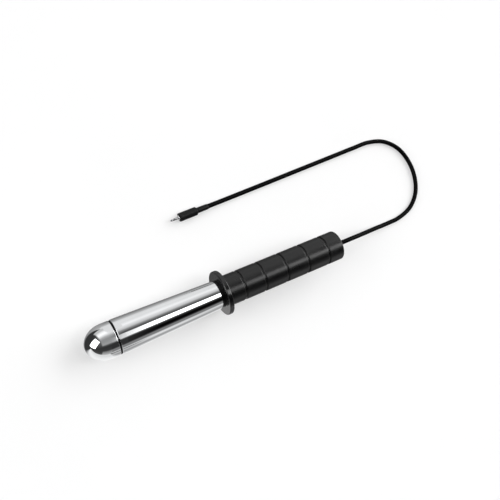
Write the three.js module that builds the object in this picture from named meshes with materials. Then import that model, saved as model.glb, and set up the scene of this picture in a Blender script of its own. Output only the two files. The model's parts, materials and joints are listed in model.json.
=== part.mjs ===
// Handheld immersion wand: a polished steel sheath with a screw-on dome, a guard flange, a grooved
// grip and a thin lead that ends in a jack plug. Millimetres, +Z up.
//
// The wand lies on its flange rim and the shoulder of its dome, dome towards -X, so its axis rises
// gently towards the lead. Stations along that axis are measured from the flange's front face:
// negative towards the dome, positive towards the lead. Turned pieces are profiles of
// [station, radius] pairs.
import * as THREE from 'three';

// ---------------------------------------------------------------- driving dimensions

const GAP = 0.3;                    // clearance kept between neighbouring pieces

const FLANGE_RADIUS = 25;
const FLANGE_THICKNESS = 5.2;
const FLANGE_EDGE = 0.9;            // chamfer on both rims

const GRIP_RADIUS = 17;
const GRIP_LENGTH = 147.5;
const GROOVES = [19.8, 45, 73, 100.6, 128]; // middles of the ring grooves, from the flange's back
const GROOVE_WIDTH = 1.9;
const GROOVE_DEPTH = 1.4;
const GROOVE_BEVEL = 0.4;

const NECK_LENGTH = 3.3;            // bare neck between sheath and flange
const NECK_RADIUS = 14.8;
const NECK_SOCKET = 1.3;            // depth of the flange's recess for the neck

const SHEATH_LENGTH = 116.05;
const SHEATH_WALL = 1;
const NOSE_RADIUS = 18.7;           // sheath's wide end, and the dome
const TAIL_RADIUS = 15.6;           // sheath's narrow end, at the neck
const STRAIGHT_NOSE = 7.5;          // the taper starts this far behind the seam

const SEAM_WIDTH = 2;               // dark ring between dome and sheath
const SEAM_LIP = 0.8;               // chamfer on the steel edges at the seam
const DOME_LENGTH = 31.15;
const DOME_CURVE = 22.7;            // length of the rounded part of the dome
const SPIGOT_RADIUS = 14.8;         // outside of the dome's screw thread
const SPIGOT_LENGTH = 7.5;

const SPINE_RADIUS = 10;            // aluminium tube that the neck, flange and grip are pushed on
const SPINE_WALL = 0.9;
const END_PLUG_RADIUS = 12.7;

const MOTOR_RADIUS = 10;
const SHAFT_RADIUS = 1;
const HEATER_RADIUS = 7;

const LEAD_DIAMETER = 5.3;
const PLUG_RADIUS = 4.9;
const JACK_RADIUS = 1.25;

const LARGE_SIDES = 36;
const MEDIUM_SIDES = 20;
const SMALL_SIDES = 12;

// ---------------------------------------------------------------- stations and the lying angle

const SHEATH_TAIL = -NECK_LENGTH;
const SHEATH_NOSE = SHEATH_TAIL - SHEATH_LENGTH;
const DOME_MOUTH = SHEATH_NOSE - SEAM_WIDTH;
const DOME_TIP = DOME_MOUTH - DOME_LENGTH;
const DOME_SHOULDER = DOME_TIP + DOME_CURVE;
const GRIP_FRONT = FLANGE_THICKNESS + GAP;
const GRIP_END = FLANGE_THICKNESS + GRIP_LENGTH;
const SPINE_FRONT = -30;
const SPINE_END = GRIP_END - 9.7;
const GLAND_END = GRIP_END + 4.6;

const TILT = Math.atan2(FLANGE_RADIUS - NOSE_RADIUS, FLANGE_EDGE - DOME_SHOULDER);
const FLANGE_HEIGHT = FLANGE_RADIUS * Math.cos(TILT) - FLANGE_EDGE * Math.sin(TILT);

// Inside radius of the tapered sheath at a station.
function sheathBore(station) {
  const taperStart = SHEATH_NOSE + STRAIGHT_NOSE;
  const along = (station - taperStart) / (SHEATH_TAIL - taperStart);
  const outside = NOSE_RADIUS + (TAIL_RADIUS - NOSE_RADIUS) * Math.max(0, along);
  return outside - SHEATH_WALL;
}

// ---------------------------------------------------------------- materials

function finish(color, roughness, metalness = 0) {
  return () => new THREE.MeshStandardMaterial({ color, roughness, metalness });
}

const polishedSteel = finish(0xd9dadb, 0.07, 1);
const plainSteel = finish(0x9a9c9e, 0.35, 1);
const aluminium = finish(0xb9bcc0, 0.4, 1);
const brass = finish(0xb8924a, 0.35, 1);
const copper = finish(0xb56a42, 0.4, 1);
const blackPlastic = finish(0x1c1c1d, 0.45);
const gripBlack = finish(0x2a2a2b, 0.55);
const blackRubber = finish(0x0f0f10, 0.7);
const redRubber = finish(0x8c3b2c, 0.75);
const ceramic = finish(0xe6dfd0, 0.6);
const boardGreen = finish(0x1f5a38, 0.5);
const magnetGrey = finish(0x4a4a4d, 0.6, 0.4);

// ---------------------------------------------------------------- shape helpers

// A solid turned about the wand's axis. Flats, not corners, lie on the nominal radii.
function turned(profile, sides) {
  const corner = 1 / Math.cos(Math.PI / sides);
  const points = profile.map(([station, radius]) => new THREE.Vector2(radius * corner, station));
  const geometry = new THREE.LatheGeometry(points, sides, Math.PI / sides);
  return geometry.rotateZ(-Math.PI / 2);
}

// A plain tube or washer between two stations.
function tube(from, to, inner, outer, sides) {
  return turned([[from, inner], [from, outer], [to, outer], [to, inner], [from, inner]], sides);
}

// A plain round bar between two stations.
function bar(from, to, radius, sides) {
  return turned([[from, 0], [from, radius], [to, radius], [to, 0]], sides);
}

// A tube whose outside follows the sheath's tapered bore.
function tubeInSheath(from, to, inner, sides) {
  const front = sheathBore(from) - GAP;
  const back = sheathBore(to) - GAP;
  return turned([[from, inner], [from, front], [to, back], [to, inner], [from, inner]], sides);
}

// A flat outline in the plane across the axis, drawn as (y, z), stretched between two stations.
function extruded(shape, from, to) {
  const settings = { depth: to - from, bevelEnabled: false, curveSegments: 8 };
  const geometry = new THREE.ExtrudeGeometry(shape, settings);
  geometry.rotateX(Math.PI / 2);
  geometry.rotateZ(Math.PI / 2);
  return geometry.translate(from, 0, 0);
}

function block(from, to, width, bottom, top) {
  const geometry = new THREE.BoxGeometry(to - from, width, top - bottom);
  return geometry.translate((from + to) / 2, 0, (bottom + top) / 2);
}

function piece(name, geometry, material) {
  const mesh = new THREE.Mesh(geometry, material());
  mesh.name = name;
  return mesh;
}

// ---------------------------------------------------------------- dome, seal and sheath

function domeCap() {
  const steps = 9;
  const outside = [];
  for (let i = 0; i <= steps; i += 1) {
    const angle = (i / steps) * Math.PI / 2;
    outside.push([DOME_TIP + DOME_CURVE * (1 - Math.cos(angle)), NOSE_RADIUS * Math.sin(angle)]);
  }
  const threadBore = SPIGOT_RADIUS + GAP;
  const threadEnd = DOME_MOUTH - 7.8;
  const cavityRadius = 12;
  const cavityEnd = DOME_SHOULDER - 4;
  const cavityDepth = 12;
  const inside = [];
  for (let i = 0; i <= 4; i += 1) {
    const angle = (i / 4) * Math.PI / 2;
    inside.push([cavityEnd - cavityDepth * Math.sin(angle), cavityRadius * Math.cos(angle)]);
  }
  inside[inside.length - 1][1] = 0;
  return turned([
    ...outside,
    [DOME_MOUTH - SEAM_LIP, NOSE_RADIUS],
    [DOME_MOUTH, NOSE_RADIUS - SEAM_LIP],
    [DOME_MOUTH, threadBore],
    [threadEnd, threadBore],
    [threadEnd, cavityRadius],
    ...inside,
  ], LARGE_SIDES);
}

function sealRing() {
  const inner = SPIGOT_RADIUS + 0.4;
  return tube(DOME_MOUTH + GAP, SHEATH_NOSE - GAP, inner, NOSE_RADIUS - 0.4, LARGE_SIDES);
}

function sheathTube() {
  const tailRound = 0.6;
  return turned([
    [SHEATH_NOSE, sheathBore(SHEATH_NOSE)],
    [SHEATH_NOSE, NOSE_RADIUS - SEAM_LIP],
    [SHEATH_NOSE + SEAM_LIP, NOSE_RADIUS],
    [SHEATH_NOSE + STRAIGHT_NOSE, NOSE_RADIUS],
    [SHEATH_TAIL - tailRound, TAIL_RADIUS],
    [SHEATH_TAIL, TAIL_RADIUS - tailRound],
    [SHEATH_TAIL, TAIL_RADIUS - SHEATH_WALL],
    [SHEATH_NOSE + STRAIGHT_NOSE, NOSE_RADIUS - SHEATH_WALL],
    [SHEATH_NOSE, sheathBore(SHEATH_NOSE)],
  ], LARGE_SIDES);
}

// Threaded bush fixed in the sheath's wide end; the dome screws on its spigot.
function noseBush() {
  const bore = 11;
  const front = SHEATH_NOSE - SPIGOT_LENGTH;
  const back = SHEATH_NOSE + 10;
  const body = sheathBore(SHEATH_NOSE) - GAP;
  return turned([
    [front, bore],
    [front, SPIGOT_RADIUS - 0.6],
    [front + 0.6, SPIGOT_RADIUS],
    [SHEATH_NOSE, SPIGOT_RADIUS],
    [SHEATH_NOSE, body],
    [back, body],
    [back, bore],
    [front, bore],
  ], LARGE_SIDES);
}

// ---------------------------------------------------------------- temperature sensor

const SENSOR_RADIUS = 2;

function sensorHolder() {
  const front = SHEATH_NOSE - SPIGOT_LENGTH + 0.4;
  return tube(front, front + 2, SENSOR_RADIUS + GAP, 11 - GAP, MEDIUM_SIDES);
}

function sensorProbe() {
  const front = DOME_SHOULDER - 9;
  const back = SHEATH_NOSE - 2;
  return turned([
    [front, 0],
    [front, SENSOR_RADIUS * 0.5],
    [front + 1, SENSOR_RADIUS],
    [back, SENSOR_RADIUS],
    [back, 0],
  ], SMALL_SIDES);
}

// ---------------------------------------------------------------- agitator motor

const MOTOR_FRONT = -104;
const MOTOR_BACK = -86;
const BEARING_RADIUS = 2.5;
const BEARING_BORE = SHAFT_RADIUS + GAP;

function motorCan() {
  const wall = 0.8;
  const hole = BEARING_RADIUS + GAP;
  return turned([
    [MOTOR_FRONT, hole],
    [MOTOR_FRONT, MOTOR_RADIUS],
    [MOTOR_BACK, MOTOR_RADIUS],
    [MOTOR_BACK, MOTOR_RADIUS - wall],
    [MOTOR_FRONT + wall, MOTOR_RADIUS - wall],
    [MOTOR_FRONT + wall, hole],
    [MOTOR_FRONT, hole],
  ], MEDIUM_SIDES);
}

function motorEndCap() {
  return tube(MOTOR_BACK + GAP, MOTOR_BACK + 1.8, BEARING_RADIUS + GAP, MOTOR_RADIUS, MEDIUM_SIDES);
}

function motorCradle() {
  return tubeInSheath(MOTOR_FRONT - 2, MOTOR_BACK + 2, MOTOR_RADIUS + GAP, MEDIUM_SIDES);
}

function frontBearing() {
  return tube(MOTOR_FRONT - 1, MOTOR_FRONT + 2.5, BEARING_BORE, BEARING_RADIUS, SMALL_SIDES);
}

function rearBearing() {
  return tube(MOTOR_BACK - 1, MOTOR_BACK + 1.8, BEARING_BORE, BEARING_RADIUS, SMALL_SIDES);
}

// One of two curved magnets that line the can.
function magnet(middleAngle) {
  const halfSpan = Math.PI / 3;
  const shape = new THREE.Shape();
  shape.absarc(0, 0, 8.7, middleAngle - halfSpan, middleAngle + halfSpan, false);
  shape.absarc(0, 0, 7.3, middleAngle + halfSpan, middleAngle - halfSpan, true);
  shape.closePath();
  return extruded(shape, MOTOR_FRONT + 4, MOTOR_BACK - 3);
}

// Three-pole iron core: each pole is an arm that ends in a curved shoe.
function armature() {
  const poles = 3;
  const shoeRadius = 6.7;
  const shoeInside = 5.3;
  const shoeHalfSpan = 0.8;
  const armHalfWidth = 1.2;
  const hubRadius = 2.4;
  const shape = new THREE.Shape();
  for (let i = 0; i < poles; i += 1) {
    const middle = (i / poles) * Math.PI * 2;
    const armAtHub = Math.asin(armHalfWidth / hubRadius);
    const armAtShoe = Math.asin(armHalfWidth / shoeInside);
    const corners = [
      [hubRadius, -armAtHub], [shoeInside, -armAtShoe], [shoeInside, -shoeHalfSpan],
      [shoeRadius, -shoeHalfSpan], [shoeRadius, -shoeHalfSpan / 2], [shoeRadius, 0],
      [shoeRadius, shoeHalfSpan / 2], [shoeRadius, shoeHalfSpan],
      [shoeInside, shoeHalfSpan], [shoeInside, armAtShoe], [hubRadius, armAtHub],
    ];
    for (const [radius, offset] of corners) {
      const y = radius * Math.cos(middle + offset);
      const z = radius * Math.sin(middle + offset);
      if (shape.curves.length === 0 && shape.currentPoint.lengthSq() === 0) shape.moveTo(y, z);
      else shape.lineTo(y, z);
    }
  }
  shape.closePath();
  shape.holes.push(new THREE.Path().absarc(0, 0, SHAFT_RADIUS + GAP, 0, Math.PI * 2, true));
  return extruded(shape, MOTOR_FRONT + 5, MOTOR_BACK - 4.5);
}

function commutator() {
  return tube(MOTOR_BACK - 4.2, MOTOR_BACK - 1.5, SHAFT_RADIUS + GAP, 2.1, SMALL_SIDES);
}

function rotorShaft() {
  return bar(MOTOR_FRONT - 7.5, MOTOR_BACK + 1.5, SHAFT_RADIUS, SMALL_SIDES);
}

// Half-round weight whose imbalance shakes the sheath and stirs the bath.
function eccentricWeight() {
  const weightRadius = 7;
  const hubRadius = 2.6;
  const shape = new THREE.Shape();
  shape.absarc(0, 0, weightRadius, Math.PI, Math.PI * 2, false);
  shape.absarc(0, 0, hubRadius, 0, Math.PI, false);
  shape.closePath();
  shape.holes.push(new THREE.Path().absarc(0, 0, SHAFT_RADIUS + GAP, 0, Math.PI * 2, true));
  return extruded(shape, MOTOR_FRONT - 6.8, MOTOR_FRONT - 2);
}

// ---------------------------------------------------------------- heater

const HEATER_FRONT = -81;
const HEATER_BACK = -35;

function heaterCore() {
  return bar(HEATER_FRONT, HEATER_BACK, HEATER_RADIUS, MEDIUM_SIDES);
}

function heatSpreader() {
  return tubeInSheath(HEATER_FRONT + 1, HEATER_BACK - 1, HEATER_RADIUS + GAP, LARGE_SIDES);
}

function thermalFuse() {
  return bar(SPINE_FRONT + 2, SPINE_FRONT + 11, 1.6, SMALL_SIDES).translate(0, 4, 3);
}

// ---------------------------------------------------------------- neck, flange, grip and spine

function spineTube() {
  return tube(SPINE_FRONT, SPINE_END, SPINE_RADIUS - SPINE_WALL, SPINE_RADIUS, MEDIUM_SIDES);
}

// Bush that plugs the sheath's narrow end and shows as the neck in front of the flange.
function neckBush() {
  const bore = SPINE_RADIUS + GAP;
  const front = -24;
  const collarFront = SHEATH_TAIL + GAP;
  return turned([
    [front, bore],
    [front, sheathBore(front) - GAP],
    [collarFront, TAIL_RADIUS - SHEATH_WALL - GAP],
    [collarFront, NECK_RADIUS],
    [NECK_SOCKET - GAP, NECK_RADIUS],
    [NECK_SOCKET - GAP, bore],
    [front, bore],
  ], LARGE_SIDES);
}

function flangeDisc() {
  const bore = SPINE_RADIUS + GAP;
  const socket = NECK_RADIUS + GAP;
  return turned([
    [NECK_SOCKET, bore],
    [NECK_SOCKET, socket],
    [0, socket],
    [0, FLANGE_RADIUS - FLANGE_EDGE],
    [FLANGE_EDGE, FLANGE_RADIUS],
    [FLANGE_THICKNESS - FLANGE_EDGE, FLANGE_RADIUS],
    [FLANGE_THICKNESS, FLANGE_RADIUS - FLANGE_EDGE],
    [FLANGE_THICKNESS, bore],
    [NECK_SOCKET, bore],
  ], LARGE_SIDES);
}

function gripSleeve() {
  const bore = SPINE_RADIUS + GAP;
  const pocket = END_PLUG_RADIUS + GAP;
  const endRound = 1.1;
  const profile = [[GRIP_FRONT, bore], [GRIP_FRONT, GRIP_RADIUS]];
  for (const groove of GROOVES) {
    const middle = FLANGE_THICKNESS + groove;
    const half = GROOVE_WIDTH / 2;
    profile.push([middle - half - GROOVE_BEVEL, GRIP_RADIUS]);
    profile.push([middle - half, GRIP_RADIUS - GROOVE_DEPTH]);
    profile.push([middle + half, GRIP_RADIUS - GROOVE_DEPTH]);
    profile.push([middle + half + GROOVE_BEVEL, GRIP_RADIUS]);
  }
  profile.push([GRIP_END - endRound, GRIP_RADIUS]);
  profile.push([GRIP_END - endRound * 0.3, GRIP_RADIUS - endRound * 0.3]);
  profile.push([GRIP_END, GRIP_RADIUS - endRound]);
  profile.push([GRIP_END, pocket]);
  profile.push([SPINE_END + GAP, pocket]);
  profile.push([SPINE_END + GAP, bore]);
  profile.push([GRIP_FRONT, bore]);
  return turned(profile, LARGE_SIDES);
}

const GLAND_RADIUS = 3.9;

function endPlug() {
  return tube(SPINE_END + 2 * GAP, GRIP_END - 0.6, GLAND_RADIUS + GAP, END_PLUG_RADIUS, MEDIUM_SIDES);
}

// Rubber grommet round the lead, with a low head outside the end plug.
function cableGland() {
  const bore = LEAD_DIAMETER / 2 + GAP;
  const head = GRIP_END - 0.3;
  return turned([
    [SPINE_END - 2, bore],
    [SPINE_END - 2, GLAND_RADIUS],
    [head, GLAND_RADIUS],
    [head, GLAND_RADIUS + 1.4],
    [head + 1.8, GLAND_RADIUS + 1],
    [GLAND_END, bore + 0.9],
    [GLAND_END, bore],
    [SPINE_END - 2, bore],
  ], MEDIUM_SIDES);
}

// ---------------------------------------------------------------- control board, inside the spine

const BOARD_FRONT = 28;
const BOARD_BACK = 100;
const BOARD_TOP = 0.8;
const PART_BASE = BOARD_TOP + GAP;

function controlBoard() {
  return block(BOARD_FRONT, BOARD_BACK, 15, -BOARD_TOP, BOARD_TOP);
}

// Trough under the board.
function boardTray() {
  const half = 6;
  const floorTop = -5.2;
  const bottom = -6.3;
  const wall = 1.2;
  const top = -BOARD_TOP - GAP;
  const shape = new THREE.Shape();
  shape.moveTo(-half, bottom);
  shape.lineTo(half, bottom);
  shape.lineTo(half, top);
  shape.lineTo(half - wall, top);
  shape.lineTo(half - wall, floorTop);
  shape.lineTo(-half + wall, floorTop);
  shape.lineTo(-half + wall, top);
  shape.lineTo(-half, top);
  shape.closePath();
  return extruded(shape, BOARD_FRONT, BOARD_BACK);
}

function boardParts() {
  const capacitor = bar(62, 72, 2.6, SMALL_SIDES).translate(0, -2, PART_BASE + 2.7);
  const inductor = new THREE.CylinderGeometry(3.5, 3.5, 4, MEDIUM_SIDES).rotateX(Math.PI / 2);
  inductor.translate(80, 0, PART_BASE + 2);
  return [
    piece('control_chip', block(46, 54, 7, PART_BASE, PART_BASE + 1.4), blackPlastic),
    piece('smoothing_capacitor', capacitor, aluminium),
    piece('choke_coil', inductor, copper),
    piece('lead_terminal', block(90, 99, 8, PART_BASE, PART_BASE + 5.2), brass),
    piece('sensor_connector', block(30, 36, 7, PART_BASE, PART_BASE + 3.6), ceramic),
  ];
}

function leadTail() {
  return bar(106, GLAND_END, LEAD_DIAMETER / 2, SMALL_SIDES);
}

function leadClamp() {
  return tube(124, 131, LEAD_DIAMETER / 2 + GAP, 4.6, SMALL_SIDES);
}

// ---------------------------------------------------------------- lead and plug

// A point on the wand's axis, in the frame where the flange's front face is over x = 0.
function axisPoint(station) {
  return [station * Math.cos(TILT), 0, FLANGE_HEIGHT + station * Math.sin(TILT)];
}

const LEAD_HEIGHT = LEAD_DIAMETER / 2 + 0.1;
const PLUG_HEIGHT = PLUG_RADIUS + 0.05;
const PLUG_START = [34.6, 95.8];

// The lead leaves the grip in line with it, sinks to the table, turns back and runs beside the wand.
const LEAD_ROUTE = [
  axisPoint(GLAND_END + GAP),
  axisPoint(GLAND_END + 11),
  [180, 0, 31.4],
  [192, 0, 27.1],
  [204, 0, 20.4],
  [216, 0.1, 13.2],
  [228, 0.2, 7.2],
  [240, 0.1, 4],
  [252, 0.2, 2.95],
  [268, 0.9, LEAD_HEIGHT],
  [291, 7.6, LEAD_HEIGHT],
  [308.6, 22.6, LEAD_HEIGHT],
  [317.4, 42.7, LEAD_HEIGHT],
  [318.1, 63.6, LEAD_HEIGHT],
  [311, 83.5, LEAD_HEIGHT],
  [294.5, 98.1, LEAD_HEIGHT],
  [272, 103.9, LEAD_HEIGHT],
  [247, 103.5, LEAD_HEIGHT],
  [200, 101.8, LEAD_HEIGHT],
  [155, 100.2, LEAD_HEIGHT],
  [112, 98.6, LEAD_HEIGHT],
  [71, 97.2, LEAD_HEIGHT],
  [55, 96.6, 3.1],
  [45, 96.2, 4.2],
  [PLUG_START[0] + GAP, PLUG_START[1], PLUG_HEIGHT],
];

function lead() {
  const sides = 8;
  const steps = 52;
  const section = new THREE.Shape();
  for (let i = 0; i < sides; i += 1) {
    const angle = (i / sides) * Math.PI * 2;
    const x = (LEAD_DIAMETER / 2) * Math.cos(angle);
    const y = (LEAD_DIAMETER / 2) * Math.sin(angle);
    if (i === 0) section.moveTo(x, y);
    else section.lineTo(x, y);
  }
  section.closePath();
  const route = new THREE.CatmullRomCurve3(LEAD_ROUTE.map((point) => new THREE.Vector3(...point)));
  return new THREE.ExtrudeGeometry(section, { steps, extrudePath: route, bevelEnabled: false });
}

// Moulded plug; stations run from the lead's end to the jack's tip.
const RELIEF_LENGTH = 13.9;
const PLUG_END = 36.6;
const JACK_TIP = 47.6;

function plugRelief() {
  return turned([
    [0, 0],
    [0, 2.95],
    [0.8, 3.15],
    [RELIEF_LENGTH, 3.3],
    [RELIEF_LENGTH, 0],
  ], SMALL_SIDES);
}

function plugBody() {
  const shoulder = 1.2;
  return turned([
    [RELIEF_LENGTH + GAP, 0],
    [RELIEF_LENGTH + GAP, PLUG_RADIUS - shoulder],
    [RELIEF_LENGTH + GAP + shoulder, PLUG_RADIUS],
    [PLUG_END - 0.4, PLUG_RADIUS],
    [PLUG_END, PLUG_RADIUS - 0.4],
    [PLUG_END, 0],
  ], MEDIUM_SIDES);
}

function jackCollar() {
  return bar(PLUG_END + GAP, PLUG_END + 1.3, 2.9, MEDIUM_SIDES);
}

function jackSleeve() {
  return bar(PLUG_END + 1.6, PLUG_END + 5.4, JACK_RADIUS, SMALL_SIDES);
}

function jackInsulator() {
  return bar(PLUG_END + 5.7, PLUG_END + 6.3, JACK_RADIUS - 0.1, SMALL_SIDES);
}

function jackTip() {
  const front = PLUG_END + 6.6;
  return turned([
    [front, 0],
    [front, JACK_RADIUS],
    [front + 0.7, JACK_RADIUS],
    [front + 1.6, 0.8],
    [front + 2.4, 1.15],
    [JACK_TIP - 0.5, 0.7],
    [JACK_TIP, 0.25],
    [JACK_TIP, 0],
  ], SMALL_SIDES);
}

// ---------------------------------------------------------------- assembly

function wandPieces() {
  return [
    piece('dome_cap', domeCap(), polishedSteel),
    piece('seal_ring', sealRing(), blackRubber),
    piece('sheath_tube', sheathTube(), polishedSteel),
    piece('nose_bush', noseBush(), plainSteel),
    piece('sensor_holder', sensorHolder(), ceramic),
    piece('sensor_probe', sensorProbe(), plainSteel),
    piece('motor_can', motorCan(), plainSteel),
    piece('motor_end_cap', motorEndCap(), blackPlastic),
    piece('motor_cradle', motorCradle(), redRubber),
    piece('front_bearing', frontBearing(), brass),
    piece('rear_bearing', rearBearing(), brass),
    piece('upper_magnet', magnet(Math.PI / 2), magnetGrey),
    piece('lower_magnet', magnet(-Math.PI / 2), magnetGrey),
    piece('armature', armature(), copper),
    piece('commutator', commutator(), copper),
    piece('rotor_shaft', rotorShaft(), plainSteel),
    piece('eccentric_weight', eccentricWeight(), brass),
    piece('heater_core', heaterCore(), ceramic),
    piece('heat_spreader', heatSpreader(), aluminium),
    piece('thermal_fuse', thermalFuse(), ceramic),
    piece('spine_tube', spineTube(), aluminium),
    piece('neck_bush', neckBush(), blackPlastic),
    piece('flange_disc', flangeDisc(), blackPlastic),
    piece('grip_sleeve', gripSleeve(), gripBlack),
    piece('end_plug', endPlug(), blackPlastic),
    piece('cable_gland', cableGland(), blackRubber),
    piece('control_board', controlBoard(), boardGreen),
    piece('board_tray', boardTray(), blackPlastic),
    ...boardParts(),
    piece('lead_tail', leadTail(), blackRubber),
    piece('lead_clamp', leadClamp(), plainSteel),
  ];
}

function plugPieces() {
  return [
    piece('plug_relief', plugRelief(), blackRubber),
    piece('plug_body', plugBody(), blackPlastic),
    piece('jack_collar', jackCollar(), polishedSteel),
    piece('jack_sleeve', jackSleeve(), polishedSteel),
    piece('jack_insulator', jackInsulator(), blackPlastic),
    piece('jack_tip', jackTip(), polishedSteel),
  ];
}

const wand = new THREE.Group();
wand.add(...wandPieces());
wand.rotation.y = -TILT;
wand.position.z = FLANGE_HEIGHT;

const plug = new THREE.Group();
plug.add(...plugPieces());
plug.rotation.z = Math.PI + 0.03;
plug.position.set(PLUG_START[0], PLUG_START[1], PLUG_HEIGHT);

// The origin is under the middle of the wand, without its lead.
const wandBox = new THREE.Box3().setFromObject(wand, true);
const model = new THREE.Group();
model.add(wand, piece('lead', lead(), blackRubber), plug);
model.position.x = -(wandBox.min.x + wandBox.max.x) / 2;

export default model;
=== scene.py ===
"""Looks of the immersion wand: fine turned pieces, finishes, its lead, the floor and the studio.

Metres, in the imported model's frame. The wand's pieces are drawn in a frame of their own, in
millimetres: station along the axis from the flange's front face, towards the lead, and radius.
"""
import json
import math

import bmesh
import bpy
from mathutils import Matrix, Vector


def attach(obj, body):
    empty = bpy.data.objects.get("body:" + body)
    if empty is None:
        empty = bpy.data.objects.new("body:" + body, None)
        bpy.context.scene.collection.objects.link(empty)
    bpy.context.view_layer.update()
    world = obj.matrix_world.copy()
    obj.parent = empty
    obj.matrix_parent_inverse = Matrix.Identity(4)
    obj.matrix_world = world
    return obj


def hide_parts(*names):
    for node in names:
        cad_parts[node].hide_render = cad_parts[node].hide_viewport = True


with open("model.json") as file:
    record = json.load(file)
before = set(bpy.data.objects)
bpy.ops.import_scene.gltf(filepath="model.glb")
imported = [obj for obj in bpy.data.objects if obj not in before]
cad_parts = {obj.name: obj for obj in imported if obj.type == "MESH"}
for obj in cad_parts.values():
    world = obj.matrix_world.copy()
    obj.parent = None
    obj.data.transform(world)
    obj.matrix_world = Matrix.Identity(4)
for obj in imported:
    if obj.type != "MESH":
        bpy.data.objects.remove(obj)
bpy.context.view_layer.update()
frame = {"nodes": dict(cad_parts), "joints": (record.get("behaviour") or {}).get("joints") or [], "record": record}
scene = bpy.context.scene

MM = 0.001

# ---------------------------------------------------------------- camera

# Its place, axes and lens follow the perspective of the wand's outline in the photograph.
CAMERA_PLACE = (-0.27065, 0.0, 0.74204)
CAMERA_RIGHT = (0.84824, -0.38558, 0.36307)
CAMERA_UP = (0.33700, 0.92180, 0.19161)
CAMERA_BACK = (-0.40856, -0.04018, 0.91185)
CAMERA_LENS = 51.12


def make_camera():
    camera = bpy.data.objects.new("camera", bpy.data.cameras.new("camera"))
    scene.collection.objects.link(camera)
    camera.data.lens = CAMERA_LENS
    camera.data.sensor_width = 36
    camera.data.clip_start = 0.05
    camera.data.clip_end = 50
    turn = Matrix((CAMERA_RIGHT, CAMERA_UP, CAMERA_BACK)).transposed()
    camera.matrix_world = Matrix.Translation(CAMERA_PLACE) @ turn.to_4x4()
    scene.camera = camera


make_camera()

# ---------------------------------------------------------------- frames of the wand and the plug

DOME_MOUTH = -121.35
joints = {joint["name"]: joint for joint in frame["joints"]}
AXIS = Vector(joints["rotor_spin"]["axis"]).normalized()
FLANGE_FRONT = Vector(joints["dome_turn"]["pos_m"]) - AXIS * (DOME_MOUTH * MM)
TILT = math.atan2(AXIS.z, AXIS.x)
WAND = Matrix.Translation(FLANGE_FRONT) @ Matrix.Rotation(-TILT, 4, "Y")

# The plug lies level on the table and points back along the wand.
PLUG_TURN = math.pi + 0.03
PLUG_HEIGHT = 4.95
PLUG_START = Vector((32.123, 95.8, PLUG_HEIGHT)) * MM
PLUG = Matrix.Translation(PLUG_START) @ Matrix.Rotation(PLUG_TURN, 4, "Z")

# ---------------------------------------------------------------- materials


class Finish:
    """A node-based material round one Principled shader."""

    def __init__(self, name, roughness, metallic=0.0, specular=0.5):
        self.material = bpy.data.materials.new(name)
        self.material.use_nodes = True
        self.tree = self.material.node_tree
        self.shader = self.tree.nodes["Principled BSDF"]
        self.shader.inputs["Metallic"].default_value = metallic
        self.shader.inputs["Roughness"].default_value = roughness
        self.shader.inputs["Specular IOR Level"].default_value = specular
        self.place = self.add("ShaderNodeTexCoord").outputs["Object"]

    def add(self, kind, settings=None, **inputs):
        node = self.tree.nodes.new(kind)
        for key, value in (settings or {}).items():
            setattr(node, key, value)
        for key, value in inputs.items():
            socket = node.inputs[key.replace("_", " ")]
            if isinstance(value, bpy.types.NodeSocket):
                self.tree.links.new(value, socket)
            else:
                socket.default_value = value
        return node

    def noise(self, scale, stretch=(1, 1, 1), detail=4, roughness=0.55):
        """Noise over the piece; stretch multiplies the scale along x, y and z."""
        mapping = self.add("ShaderNodeMapping", Vector=self.place, Scale=stretch)
        return self.add(
            "ShaderNodeTexNoise",
            Vector=mapping.outputs[0],
            Scale=scale,
            Detail=detail,
            Roughness=roughness,
        ).outputs["Fac"]

    def spread(self, source, low, high, start=0.3, end=0.7):
        """Source, from start to end, as a number from low to high."""
        node = self.add("ShaderNodeMapRange", Value=source)
        for key, value in zip(
            ("From Min", "From Max", "To Min", "To Max"), (start, end, low, high)
        ):
            node.inputs[key].default_value = value
        return node.outputs[0]

    def colour(self, source, first, second, start=0.3, end=0.7):
        """The base colour runs from first to second as source runs from start to end."""
        mix = self.add("ShaderNodeMix", {"data_type": "RGBA"})
        self.tree.links.new(self.spread(source, 0, 1, start, end), mix.inputs[0])
        mix.inputs[6].default_value = (*first, 1)
        mix.inputs[7].default_value = (*second, 1)
        self.tree.links.new(mix.outputs[2], self.shader.inputs["Base Color"])

    def roughness(self, source, low, high, start=0.3, end=0.7):
        self.tree.links.new(
            self.spread(source, low, high, start, end), self.shader.inputs["Roughness"]
        )

    def bump(self, source, depth, under=None):
        """Relief of that depth in millimetres; under is a coarser relief that it sits on."""
        node = self.add("ShaderNodeBump", Height=source, Distance=depth * MM)
        if under is not None:
            self.tree.links.new(under, node.inputs["Normal"])
        self.tree.links.new(node.outputs[0], self.shader.inputs["Normal"])
        return node.outputs[0]


def polished_steel():
    made = Finish("polished_steel", 0.05, 1)
    lines = made.noise(60, (40, 1, 1), 6)
    haze = made.noise(35)
    made.colour(haze, (0.80, 0.81, 0.82), (0.84, 0.85, 0.86))
    made.roughness(lines, 0.018, 0.05)
    return made.material


def turned_metal(name, dark, light, roughness, metallic=1):
    made = Finish(name, roughness, metallic)
    lines = made.noise(90, (60, 1, 1), 5)
    patches = made.noise(150)
    made.colour(patches, dark, light)
    made.roughness(lines, roughness - 0.08, roughness + 0.12)
    made.bump(lines, 0.02)
    return made.material


def moulded(name, dark, light, roughness, grain, depth, specular=0.5):
    """Plastic or rubber with a fine grain and faint uneven gloss."""
    made = Finish(name, roughness, 0, specular)
    specks = made.noise(grain, detail=3)
    clouds = made.noise(45)
    made.colour(clouds, dark, light)
    made.roughness(clouds, roughness - 0.04, roughness + 0.05)
    made.bump(specks, depth)
    return made.material


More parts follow.
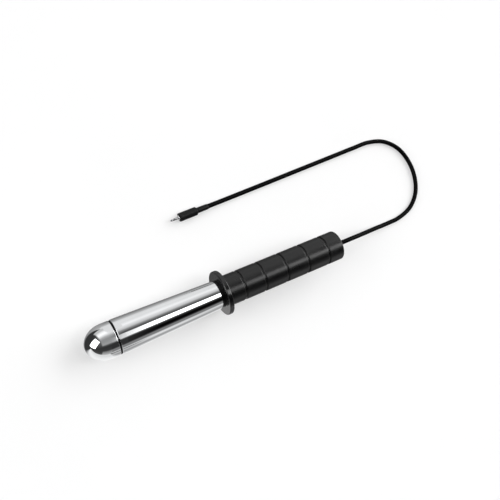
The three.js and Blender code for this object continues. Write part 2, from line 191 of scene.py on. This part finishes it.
def satin_grip():
    """Satin sleeve with fine turning lines and a faint speckle."""
    made = Finish("grip_black", 0.36, specular=0.42)
    lines = made.noise(70, (45, 1, 1), 5)
    specks = made.noise(2600, detail=2)
    clouds = made.noise(60)
    made.colour(specks, (0.001, 0.001, 0.0011), (0.004, 0.004, 0.0042))
    made.roughness(clouds, 0.27, 0.34)
    coarse = made.bump(lines, 0.012)
    made.bump(specks, 0.015, coarse)
    return made.material


def board_green():
    made = Finish("board_green", 0.35)
    weave = made.noise(900, (1, 1, 0.2))
    made.colour(weave, (0.02, 0.12, 0.05), (0.04, 0.2, 0.09))
    made.bump(weave, 0.02)
    return made.material


MATERIALS = {
    "polished_steel": polished_steel(),
    "jack_nickel": turned_metal("jack_nickel", (0.3, 0.3, 0.31), (0.42, 0.42, 0.43), 0.24),
    "plain_steel": turned_metal("plain_steel", (0.42, 0.43, 0.44), (0.56, 0.57, 0.58), 0.3),
    "aluminium": turned_metal("aluminium", (0.62, 0.63, 0.65), (0.72, 0.73, 0.75), 0.34),
    "brass": turned_metal("brass", (0.62, 0.46, 0.2), (0.76, 0.6, 0.32), 0.32),
    "copper": turned_metal("copper", (0.62, 0.3, 0.16), (0.76, 0.43, 0.26), 0.36),
    "magnet": turned_metal("magnet", (0.09, 0.09, 0.1), (0.15, 0.15, 0.16), 0.55, 0.4),
    "black_plastic": moulded(
        "black_plastic", (0.003, 0.003, 0.0032), (0.006, 0.006, 0.0064), 0.15, 1800, 0.008
    ),
    "grip_black": satin_grip(),
    "plug_black": moulded(
        "plug_black", (0.002, 0.002, 0.0022), (0.005, 0.005, 0.0053), 0.4, 3200, 0.03, 0.15
    ),
    "lead_black": moulded(
        "lead_black", (0.001, 0.001, 0.0011), (0.003, 0.003, 0.0032), 0.45, 1500, 0.01, 0.03
    ),
    "black_rubber": moulded(
        "black_rubber", (0.001, 0.001, 0.0011), (0.003, 0.003, 0.0032), 0.5, 2200, 0.02, 0.12
    ),
    "red_rubber": moulded("red_rubber", (0.34, 0.09, 0.06), (0.46, 0.14, 0.1), 0.55, 900, 0.03),
    "ceramic": moulded("ceramic", (0.72, 0.68, 0.58), (0.84, 0.8, 0.71), 0.5, 1600, 0.03),
    "board_green": board_green(),
}

# ---------------------------------------------------------------- shape helpers

SHARP = math.radians(34)
ON_AXIS = 1e-6
LARGEST_SHARE = 0.48  # of a side, that the round at one of its ends may take
SUPPORT = 0.08  # from a round's end to the point that keeps the wall beside it straight
DEGREES_A_STEP = 13


def rounded(corners, closed):
    """Points along an outline of (station, radius[, round]) corners, with the rounds drawn in."""
    points = []
    count = len(corners)
    for i, corner in enumerate(corners):
        here = Vector(corner[:2])
        size = corner[2] if len(corner) > 2 else 0
        if size == 0 or (not closed and i in (0, count - 1)):
            points.append(here)
            continue
        to_last = Vector(corners[i - 1][:2]) - here
        to_next = Vector(corners[(i + 1) % count][:2]) - here
        half = to_last.angle(to_next) / 2
        room = LARGEST_SHARE * min(to_last.length, to_next.length)
        back = min(size / math.tan(half), room)
        to_last.normalize()
        to_next.normalize()
        radius = back * math.tan(half)
        middle = here + (to_last + to_next).normalized() * (radius / math.sin(half))
        start = here + to_last * back
        end = here + to_next * back
        support = min(SUPPORT, back * 0.5)
        points.append(start + to_last * support)
        sweep = math.pi - 2 * half
        steps = max(3, round(math.degrees(sweep) / DEGREES_A_STEP))
        side = (start - middle).cross(end - middle)
        for k in range(steps + 1):
            turn = Matrix.Rotation(math.copysign(sweep * k / steps, side), 2)
            points.append(middle + turn @ (start - middle))
        points.append(end + to_next * support)
    return points


def lathe(name, points, sides=128, closed=False, shift=None, place=WAND):
    """A solid turned about its frame's x axis from (station, radius) points in millimetres.

    shift(station, radius, angle) may give a new radius, as for a screw thread.
    """
    made = bmesh.new()
    rings = []
    for station, radius in points:
        if radius < ON_AXIS:
            rings.append([made.verts.new((station * MM, 0, 0))])
            continue
        ring = []
        for k in range(sides):
            angle = 2 * math.pi * k / sides
            far = shift(station, radius, angle) if shift else radius
            ring.append(
                made.verts.new(
                    (station * MM, far * MM * math.sin(angle), far * MM * math.cos(angle))
                )
            )
        rings.append(ring)
    pairs = list(zip(rings, rings[1:]))
    if closed:
        pairs.append((rings[-1], rings[0]))
    for first, second in pairs:
        for k in range(sides):
            near = (k + 1) % sides
            if len(first) == 1 and len(second) > 1:
                made.faces.new((first[0], second[near], second[k]))
            elif len(second) == 1 and len(first) > 1:
                made.faces.new((first[k], first[near], second[0]))
            elif len(first) > 1:
                made.faces.new((first[k], first[near], second[near], second[k]))
    return finished(name, made, place)


def finished(name, made, place=WAND):
    """The bmesh as a shaded object at its place, with its sharp edges marked."""
    bmesh.ops.recalc_face_normals(made, faces=made.faces)
    for face in made.faces:
        face.smooth = True
    for edge in made.edges:
        if len(edge.link_faces) == 2 and edge.calc_face_angle() > SHARP:
            edge.smooth = False
    mesh = bpy.data.meshes.new(name)
    made.to_mesh(mesh)
    made.free()
    piece = bpy.data.objects.new(name, mesh)
    scene.collection.objects.link(piece)
    piece.matrix_world = place
    return piece


SLOT_OF = {part["node"]: part["material_slot"] for part in frame["record"]["subparts"]}
# The thin pin is duller than the wand's steel, although both share the slot.
LOOK_OF = {**SLOT_OF, "jack_sleeve": "jack_nickel", "jack_tip": "jack_nickel"}


def stand_in(piece, node, body="wand"):
    """The piece shows in place of a CAD node, in that node's look."""
    piece.data.materials.append(MATERIALS[LOOK_OF[node]])
    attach(piece, body)
    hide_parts(node)
    return piece


# ---------------------------------------------------------------- lead and plug

LEAD_DIAMETER = 5.3
LEAD_LOW = LEAD_DIAMETER / 2 + 0.1
GLAND_STATIONS = (157.6, 168.3)  # the lead leaves the gland straight along the wand's axis

# Offsets from the flange's front face, level with the table; the last number is the height.
LEAD_ROUTE = [
    (180, 0, 31.4), (192, 0, 27.1), (204, 0, 20.4), (216, 0.1, 13.2),
    (228, 0.2, 7.2), (240, 0.1, 4), (252, 0.2, 2.95), (268, 0.9, LEAD_LOW),
    (291, 7.6, LEAD_LOW), (308.6, 22.6, LEAD_LOW), (317.4, 42.7, LEAD_LOW),
    (318.1, 63.6, LEAD_LOW), (311, 83.5, LEAD_LOW), (294.5, 98.1, LEAD_LOW),
    (272, 103.9, LEAD_LOW), (247, 103.5, LEAD_LOW), (200, 101.8, LEAD_LOW),
    (155, 100.2, LEAD_LOW), (112, 98.6, LEAD_LOW), (71, 97.2, LEAD_LOW), (55, 96.6, 3.1),
    (45, 96.2, 4.2), (34.9, 95.8, PLUG_HEIGHT),
]


def lead_points():
    """The route's points in metres, from the gland to the plug."""
    level = Vector((FLANGE_FRONT.x, 0, 0))
    first = [WAND @ Vector((station * MM, 0, 0)) for station in GLAND_STATIONS]
    return first + [level + Vector(point) * MM for point in LEAD_ROUTE]


def lead_curve(points):
    """One smooth spline through the points, with centripetal Catmull-Rom tangents."""
    curve = bpy.data.curves.new("lead_cable", "CURVE")
    curve.dimensions = "3D"
    curve.bevel_depth = LEAD_DIAMETER / 2 * MM
    curve.bevel_resolution = 8
    curve.resolution_u = 16
    curve.use_fill_caps = True
    spline = curve.splines.new("BEZIER")
    spline.bezier_points.add(len(points) - 1)
    before = [2 * points[0] - points[1]] + points[:-1]
    after = points[1:] + [2 * points[-1] - points[-2]]
    for knot, last, here, following in zip(spline.bezier_points, before, points, after):
        t0 = math.sqrt((here - last).length)
        t1 = math.sqrt((following - here).length)
        slope = (here - last) / t0 - (following - last) / (t0 + t1) + (following - here) / t1
        knot.co = here
        knot.handle_left_type = knot.handle_right_type = "FREE"
        knot.handle_left = here - slope * t0 / 3
        knot.handle_right = here + slope * t1 / 3
    piece = bpy.data.objects.new("lead_cable", curve)
    scene.collection.objects.link(piece)
    return piece


PLUG_GAP = 0.3
# Outlines of the plug's pieces, each from its own start: station, radius and round.
PLUG_OUTLINES = {
    "plug_relief": [(0, 2.95, 0.35), (0.8, 3.15, 0.3), (13.9, 3.3, 0.35)],
    "plug_body": [(0, 3.7, 0.25), (1.2, 4.9, 0.5), (22.4, 4.9, 0.45)],
    "jack_collar": [(0, 2.9, 0.25), (1, 2.9, 0.3)],
    "jack_sleeve": [(0, 1.25, 0.08), (3.8, 1.25, 0.1)],
    "jack_insulator": [(0, 1.15, 0.05), (0.6, 1.15, 0.05)],
    "jack_tip": [
        (0, 1.25, 0.1), (0.7, 1.25, 0.2), (1.6, 0.8, 0.5), (2.4, 1.15, 0.5), (3.9, 0.7, 0.5),
        (4.4, 0.25, 0.2),
    ],
}


def plug_pieces():
    """The plug's pieces in a row, each a small gap behind the last."""
    pieces = []
    start = 0
    for node, outline in PLUG_OUTLINES.items():
        length = outline[-1][0]
        corners = [(0, 0), *outline, (length, 0)]
        points = rounded([(start + station, *rest) for station, *rest in corners], False)
        pieces.append(stand_in(lathe(node + ".fine", points, 64, place=PLUG), node))
        start += length + PLUG_GAP
    return pieces


def make_lead():
    points = lead_points()
    lead = stand_in(lead_curve(points), "lead")
    plug_pieces()


make_lead()

# ---------------------------------------------------------------- dome, seal, sheath and bush

SHEATH_NOSE = -119.35
SEAM_LIP = 0.4
SHEATH_TAIL = -3.3
DOME_TIP = -152.5
DOME_CURVE = 22.7
NOSE_RADIUS = 18.7
TAIL_RADIUS = 15.6
THREAD_PITCH = 1.5
THREAD_FADE = 0.8
THREADED_RADII = (14, 16)
BUSH_THREAD_DEPTH = 0.75
DOME_THREAD_DEPTH = 0.5
DOME_BORE = 15.1
DOME_BORE_END = DOME_MOUTH - 7.8
DOME_HOLLOW = 12
DOME_HOLLOW_END = -133.8
SHEATH_BORE = 17.7
SHEATH_STRAIGHT = 7.5
SEAL_BORE = 15.2
SEAL_RADIUS = 18.3
SEAL_GAP = 0.3
BUSH_BORE = 11
BUSH_RADIUS = 17.4
BUSH_SPIGOT = 14.8
BUSH_FRONT = SHEATH_NOSE - 7.5
BUSH_BACK = SHEATH_NOSE + 10


def thread(start, end, depth):
    """A shift for lathe(): a screw thread of that depth between two stations of one wall."""

    def shift(station, radius, angle):
        fade = min(1, (station - start) / THREAD_FADE, (end - station) / THREAD_FADE)
        if fade <= 0 or not THREADED_RADII[0] < radius < THREADED_RADII[1]:
            return radius
        phase = (station / THREAD_PITCH - angle / (2 * math.pi)) % 1
        height = max(0, min(1, 1.6 - 4 * abs(phase - 0.5)))
        return radius + depth * (1 - height) * fade

    return shift


def wall_steps(start, end, radius, step=0.125):
    """Points along a straight wall, close enough to carry a thread."""
    count = round(abs(end - start) / step)
    return [Vector((start + (end - start) * k / count, radius)) for k in range(count + 1)]


def quarter(middle, length, radius, steps):
    """Points on a quarter of an ellipse, from its tip on the axis to its full radius."""
    points = []
    for k in range(steps + 1):
        angle = k / steps * math.pi / 2
        points.append(Vector((middle - length * math.cos(angle), radius * math.sin(angle))))
    points[0].y = 0
    return points


def dome_cap():
    outside = quarter(DOME_TIP + DOME_CURVE, DOME_CURVE, NOSE_RADIUS, 48)
    lip = rounded(
        [(DOME_MOUTH - 6, NOSE_RADIUS), (DOME_MOUTH, NOSE_RADIUS, SEAM_LIP),
         (DOME_MOUTH, DOME_BORE)],
        False,
    )
    bore = wall_steps(DOME_MOUTH, DOME_BORE_END, DOME_BORE)
    shoulder = Vector((DOME_BORE_END, DOME_HOLLOW))
    hollow = quarter(DOME_HOLLOW_END, DOME_HOLLOW, DOME_HOLLOW, 12)
    points = outside + lip[:-1] + bore + [shoulder] + hollow[::-1]
    shift = thread(DOME_MOUTH - 7.6, DOME_MOUTH - 0.4, DOME_THREAD_DEPTH)
    return lathe("dome_cap.fine", points, 160, shift=shift)


def seal_ring():
    front = DOME_MOUTH + SEAL_GAP
    back = SHEATH_NOSE - SEAL_GAP
    return lathe(
        "seal_ring.fine",
        rounded(
            [(front, SEAL_BORE, 0.1), (front, SEAL_RADIUS, 0.4), (back, SEAL_RADIUS, 0.4),
             (back, SEAL_BORE, 0.1)],
            True,
        ),
        closed=True,
    )


def sheath_tube():
    straight_end = SHEATH_NOSE + SHEATH_STRAIGHT
    return lathe(
        "sheath_tube.fine",
        rounded(
            [
                (SHEATH_NOSE, SHEATH_BORE, 0.1),
                (SHEATH_NOSE, NOSE_RADIUS, SEAM_LIP),
                (straight_end, NOSE_RADIUS, 40),
                (SHEATH_TAIL, TAIL_RADIUS, 0.6),
                (SHEATH_TAIL, TAIL_RADIUS - 1, 0.1),
                (straight_end, SHEATH_BORE),
            ],
            True,
        ),
        160,
        closed=True,
    )


def nose_bush():
    """A threaded spigot in the dome and a body in the sheath, with one bore through both."""
    head = rounded(
        [(BUSH_FRONT, 11.5), (BUSH_FRONT, 14.3, 0.2), (BUSH_FRONT + 0.5, BUSH_SPIGOT)], False
    )
    spigot = wall_steps(BUSH_FRONT + 0.5, SHEATH_NOSE, BUSH_SPIGOT)
    body = rounded(
        [(SHEATH_NOSE, BUSH_SPIGOT), (SHEATH_NOSE, BUSH_RADIUS, 0.2), (BUSH_BACK, BUSH_RADIUS, 0.3),
         (BUSH_BACK, BUSH_BORE, 0.2), (BUSH_FRONT, BUSH_BORE, 0.2), (BUSH_FRONT, 11.5)],
        False,
    )
    points = head[:-1] + spigot + body[1:-1]
    shift = thread(BUSH_FRONT + 0.4, SHEATH_NOSE - 0.3, -BUSH_THREAD_DEPTH)
    return lathe("nose_bush.fine", points, closed=True, shift=shift)


# ---------------------------------------------------------------- neck, flange, grip and its end

SPINE_BORE = 10.3
GRIP_FRONT = 5.5
GRIP_END = 152.7
GRIP_RADIUS = 17.0
GRIP_POCKET = (143.3, 13)
FLANGE_BACK = 5.2
FLANGE_RADIUS = 25
FLANGE_ROUND = 1.1
# Middles of the grooves behind the flange, and half their width at the floor and at the mouth.
GROOVES = (19.8, 45, 73, 100.6, 128)
GROOVE_DEPTH = 1.4
GROOVE_FLOOR = 0.95
GROOVE_MOUTH = 1.35


def neck_bush():
    front, step, back = -24, -3, 1
    return lathe(
        "neck_bush.fine",
        rounded(
            [(front, SPINE_BORE, 0.2), (front, 14.9, 0.4), (step, 14.3, 0.05), (step, 14.8, 0.1),
             (back, 14.8, 0.1), (back, SPINE_BORE, 0.1)],
            True,
        ),
        closed=True,
    )


def flange_disc():
    return lathe(
        "flange_disc.fine",
        rounded(
            [(1.3, SPINE_BORE), (1.3, 15.1, 0.1), (0, 15.1, 0.2), (0, FLANGE_RADIUS, FLANGE_ROUND),
             (FLANGE_BACK, FLANGE_RADIUS, FLANGE_ROUND), (FLANGE_BACK, SPINE_BORE, 0.1)],
            True,
        ),
        160,
        closed=True,
    )


def grip_sleeve():
    corners = [(GRIP_FRONT, SPINE_BORE, 0.1), (GRIP_FRONT, GRIP_RADIUS, 0.35)]
    floor = GRIP_RADIUS - GROOVE_DEPTH
    for groove in GROOVES:
        middle = FLANGE_BACK + groove
        corners += [
            (middle - GROOVE_MOUTH, GRIP_RADIUS, 0.9),
            (middle - GROOVE_FLOOR, floor, 0.3),
            (middle + GROOVE_FLOOR, floor, 0.3),
            (middle + GROOVE_MOUTH, GRIP_RADIUS, 0.9),
        ]
    pocket, pocket_radius = GRIP_POCKET
    corners += [
        (GRIP_END, GRIP_RADIUS, 1.3),
        (GRIP_END, pocket_radius, 0.3),
        (pocket, pocket_radius),
        (pocket, SPINE_BORE),
    ]
    return lathe("grip_sleeve.fine", rounded(corners, True), 160, closed=True)


def end_plug():
    front, back = 143.6, 152.1
    bore, radius = 4.2, 12.7
    return lathe(
        "end_plug.fine",
        rounded([(front, bore), (front, radius, 0.3), (back, radius, 0.5), (back, bore, 0.2)], True),
        96,
        closed=True,
    )


def cable_gland():
    front, collar, back = 141, 152.4, 157.3
    bore = 2.95
    return lathe(
        "cable_gland.fine",
        rounded(
            [(front, bore), (front, 3.9, 0.3), (collar, 3.9), (collar, 5.3, 0.3),
             (154.2, 4.9, 1.2), (back, 3.85, 0.4), (back, bore, 0.1)],
            True,
        ),
        96,
        closed=True,
    )


stand_in(dome_cap(), "dome_cap", "dome")
stand_in(seal_ring(), "seal_ring", "seal")
stand_in(sheath_tube(), "sheath_tube")
stand_in(nose_bush(), "nose_bush")
stand_in(neck_bush(), "neck_bush")
stand_in(flange_disc(), "flange_disc")
stand_in(grip_sleeve(), "grip_sleeve")
stand_in(end_plug(), "end_plug")
stand_in(cable_gland(), "cable_gland")

for node, piece in frame["nodes"].items():
    piece.material_slots[0].material = MATERIALS[LOOK_OF[node]]

# ---------------------------------------------------------------- floor and studio


class Shade:
    """Short calls for the nodes of the world and of the painted reflection card."""

    def __init__(self, tree):
        self.tree = tree

    def node(self, kind, *sources, **settings):
        made = self.tree.nodes.new(kind)
        for key, value in settings.items():
            setattr(made, key, value)
        for socket, source in zip(made.inputs, sources):
            if isinstance(source, bpy.types.NodeSocket):
                self.tree.links.new(source, socket)
            elif source is not None:
                socket.default_value = source
        return made

    def math(self, operation, *sources):
        return self.node("ShaderNodeMath", *sources, operation=operation).outputs[0]

    def bound(self, operation, source, limit):
        return self.node("ShaderNodeVectorMath", source, limit, operation=operation).outputs[0]

    def step(self, source, start, end):
        """0 before start, 1 after end, smooth between."""
        return self.node(
            "ShaderNodeMapRange", source, start, end, 0.0, 1.0, interpolation_type="SMOOTHSTEP"
        ).outputs[0]

    def mix(self, share, first, second):
        made = self.node("ShaderNodeMix", share, data_type="RGBA")
        for socket, source in ((made.inputs[6], first), (made.inputs[7], second)):
            if isinstance(source, bpy.types.NodeSocket):
                self.tree.links.new(source, socket)
            else:
                socket.default_value = (source, source, source, 1)
        return made.outputs[2]

    def ramp(self, source, stops, low, high):
        """Grey levels given at values of the source, between low and high."""
        share = self.node("ShaderNodeMapRange", source, low, high, 0.0, 1.0).outputs[0]
        made = self.node("ShaderNodeValToRGB", share)
        elements = made.color_ramp.elements
        stops = [(low, stops[0][1])] + stops + [(high, stops[-1][1])]
        for value, _level in stops[1:-1]:
            elements.new((value - low) / (high - low))
        for element, (_value, level) in zip(elements, stops):
            element.color = (level, level, level, 1)
        return made.outputs["Color"]


def level_plane(name, corners, height):
    mesh = bpy.data.meshes.new(name)
    mesh.from_pydata([(x, y, height) for x, y in corners], [], [(0, 1, 2, 3)])
    plane = bpy.data.objects.new(name, mesh)
    scene.collection.objects.link(plane)
    return plane


FLOOR_GLOW = 0.45
FLOOR_CORNERS = [(-4, -4), (4, -4), (4, 4), (-4, 4)]


def make_floor():
    """The plain pale floor; reflections see the painted reflection card below it instead."""
    floor = level_plane("floor", FLOOR_CORNERS, 0)
    pale = Finish("floor_pale", 0.9, specular=0.1)
    pale.colour(pale.noise(3), (0.42, 0.42, 0.42), (0.44, 0.44, 0.44))
    pale.shader.inputs["Emission Color"].default_value = (1, 1, 1, 1)
    pale.shader.inputs["Emission Strength"].default_value = FLOOR_GLOW
    floor.data.materials.append(pale.material)
    floor.visible_glossy = False


# Brightness of the table as the polished steel shows it, a painted reflection on the card, darker nearest the wand
# where the wand's shadow on the table is painted in: metres to the +Y side, and level.
# These stops and the studio's were picked so that the steel shows the photograph's bands.
PLUG_SIDE = [(0.012, 0.3), (0.033, 0.22), (0.08, 0.47), (0.167, 0.75), (0.27, 0.85)]
BESIDE_SHEATH = [
    (-0.2, 0.9), (-0.12, 0.67), (-0.07, 0.38), (-0.058, 0.38), (-0.043, 0.52), (-0.0275, 0.95),
    (-0.02, 1.05), *PLUG_SIDE,
]
BESIDE_NOSE = [
    (-0.6, 0.11), (-0.3, 0.2), (-0.145, 0.57), (-0.12, 0.6), (-0.07, 0.37), (-0.055, 0.37),
    (-0.0375, 0.6), (-0.0275, 0.92), (-0.02, 1.0), *PLUG_SIDE,
]
BESIDE_DOME = [
    (-0.1, 0.85), (-0.02, 1.05), (0.0, 0.5), (0.02, 0.3), (0.06, 0.42), (0.27, 0.7),
]
BESIDE_GRIP = [(-0.27, 0.8), (-0.1, 0.45), (-0.05, 0.2), (0.05, 0.2), (0.1, 0.45), (0.27, 0.8)]
# Where one ramp gives way to the next along the wand, and the lean of the first of these lines.
NOSE_TO_SHEATH = (-0.13, -0.09)
NOSE_LEAN = 0.26
DOME_TO_SHEATH = (-0.128, -0.118)
SHEATH_TO_GRIP = (0.015, 0.035)
# The edges of the painted dark patch ahead of the dome, which the dome shows as a dark reflection, its far side's
# lean, and its level.
BLACK_FROM = (-0.155, -0.168)
BLACK_SIDE = (0.005, 0.018)
BLACK_LEAN = 0.1
BLACK_LEVEL = 0.04


def make_painted_reflection_card():
    """A glowing card just under the floor that only reflections see: a painted reflection of the table.

    Its grey changes to both sides of the wand, differently beside each stretch of it, and is darker nearest the
    wand, where the wand's shadow on the table is painted in.
    """
    card = level_plane("painted_reflection_card", FLOOR_CORNERS, -0.0003)
    material = bpy.data.materials.new("painted_reflection_card")
    material.use_nodes = True
    shade = Shade(material.node_tree)
    shade.tree.nodes.remove(shade.tree.nodes["Principled BSDF"])
    place = shade.node("ShaderNodeTexCoord").outputs["Object"]
    x, y, _z = shade.node("ShaderNodeSeparateXYZ", place).outputs
    # Painted levels of the table as reflections show it, with the wand's painted shadow nearest the wand.
    sheath, nose, dome, grip = (
        shade.ramp(y, stops, -1, 1)
        for stops in (BESIDE_SHEATH, BESIDE_NOSE, BESIDE_DOME, BESIDE_GRIP)
    )
    # Reflections slant back as they go out, so the sheath's two ramps meet along slanted lines.
    slant = shade.math("MULTIPLY", shade.math("ABSOLUTE", y), NOSE_LEAN)
    station = shade.math("SUBTRACT", x, slant)
    level = shade.mix(shade.step(station, *NOSE_TO_SHEATH), nose, sheath)
    level = shade.mix(shade.step(x, *DOME_TO_SHEATH), dome, level)
    level = shade.mix(shade.step(x, *SHEATH_TO_GRIP), level, grip)
    # A painted dark patch ahead of the dome, which only the dome's reflection shows.
    side = shade.math("SUBTRACT", y, shade.math("MULTIPLY", x, BLACK_LEAN))
    black = shade.math("MULTIPLY", shade.step(x, *BLACK_FROM), shade.step(side, *BLACK_SIDE))
    level = shade.mix(black, level, BLACK_LEVEL)
    # The card glows with these painted levels and lights nothing.
    glow = shade.node("ShaderNodeEmission", level)
    shade.tree.links.new(glow.outputs[0], shade.tree.nodes["Material Output"].inputs[0])
    card.data.materials.append(material)
    card.visible_camera = False
    card.visible_diffuse = False
    card.visible_shadow = False
    card.visible_transmission = False


# Brightness round the wand's axis, seen from it: degrees from straight up towards +Y, and level.
BEHIND = [
    (-90, 0.78), (-84, 0.33), (-78, 0.2), (-70, 0.27), (-64, 0.08), (-57, 0.002), (-42, 0.002),
    (-31, 0.03), (-25, 0.2), (-21.5, 0.8), (-20, 4.4), (-1, 4.4), (1.5, 1.0), (4, 0.2),
    (8, 0.09), (13, 0.12), (24, 0.36), (29, 0.62), (45, 0.9), (54, 1.07), (72, 0.86), (90, 0.9),
]
OVERHEAD = [
    (-90, 0.54), (-70, 0.27), (-60, 0.05), (-36, 0.035), (-27, 0.08), (-18, 0.4), (0, 0.34),
    (12, 0.33), (26, 0.5), (40, 1.0), (50, 1.3), (64, 1.0), (76, 0.62), (90, 0.66),
]
AHEAD = [
    (-90, 0.1), (-70, 0.05), (-36, 0.04), (-10, 0.1), (20, 0.2), (45, 0.16), (62, 0.05),
    (90, 0.03),
]
# The most that BEHIND shows and the least that the whole studio shows, by the direction's x.
BEHIND_LIMIT = [(0.143, 0.85), (0.185, 1.0), (0.2, 1.4), (0.215, 4.4)]
HAZE = [(0.15, 0.035), (0.19, 0.024), (0.215, 0.01), (0.235, 0.002)]
# Square boxes: the way to their middle, one of their sides, and their half sizes at distance 1.
BOX_AHEAD = (Vector((-0.863, 0.188, 0.468)), Vector((0.170, -0.773, 0.611)), (0.345, 0.42))
BOX_BEHIND = (Vector((0.84, 0.1, 0.53)), Vector((0, 1, 0)), (0.5, 0.3))
BOX_EDGE = 0.03
AHEAD_LEVEL = 4.0
BEHIND_LEVEL = 6.0
# The studio's parts run into one another over these stretches of the direction's x.
AHEAD_TO_OVERHEAD = (-0.52, -0.4)
OVERHEAD_TO_BEHIND = (0.1, 0.12)
# The camera itself sees this plain grey above the floor, and not the boxes and flags.
BACKDROP = 0.9


def make_studio():
    """White boxes and black flags round the wand: one ramp behind, one overhead, one ahead."""
    world = bpy.data.worlds.new("studio")
    scene.world = world
    world.use_nodes = True
    shade = Shade(world.node_tree)
    direction = shade.node("ShaderNodeTexCoord").outputs["Generated"]
    x, y, z = shade.node("ShaderNodeSeparateXYZ", direction).outputs
    around = shade.math("MULTIPLY", shade.math("ARCTAN2", y, z), 180 / math.pi)

    def along(vector):
        return shade.node(
            "ShaderNodeVectorMath", direction, vector, operation="DOT_PRODUCT"
        ).outputs["Value"]

    def square(middle, side, sizes):
        """1 in the direction of a square box and 0 elsewhere."""
        middle = middle.normalized()
        side = (side - middle * side.dot(middle)).normalized()
        facing = along(middle)
        inside = shade.step(facing, 0.0, 0.1)
        for axis, half in zip((side, middle.cross(side)), sizes):
            offset = shade.math("ABSOLUTE", shade.math("DIVIDE", along(axis), facing))
            edge = shade.step(offset, half + BOX_EDGE, half - BOX_EDGE)
            inside = shade.math("MULTIPLY", inside, edge)
        return inside

    ahead, overhead, behind = (
        shade.ramp(around, stops, -180, 180) for stops in (AHEAD, OVERHEAD, BEHIND)
    )
    whole = shade.mix(shade.step(x, *AHEAD_TO_OVERHEAD), ahead, overhead)
    behind = shade.bound("MINIMUM", behind, shade.ramp(x, BEHIND_LIMIT, -1, 1))
    whole = shade.mix(shade.step(x, *OVERHEAD_TO_BEHIND), whole, behind)
    whole = shade.bound("MAXIMUM", whole, shade.ramp(x, HAZE, -1, 1))
    whole = shade.mix(square(*BOX_AHEAD), whole, AHEAD_LEVEL)
    whole = shade.mix(square(*BOX_BEHIND), whole, BEHIND_LEVEL)
    seen_directly = shade.node("ShaderNodeLightPath").outputs["Is Camera Ray"]
    whole = shade.mix(seen_directly, whole, BACKDROP)
    shade.tree.links.new(whole, shade.tree.nodes["Background"].inputs["Color"])


make_floor()
make_painted_reflection_card()
make_studio()
scene.view_settings.view_transform = "Standard"
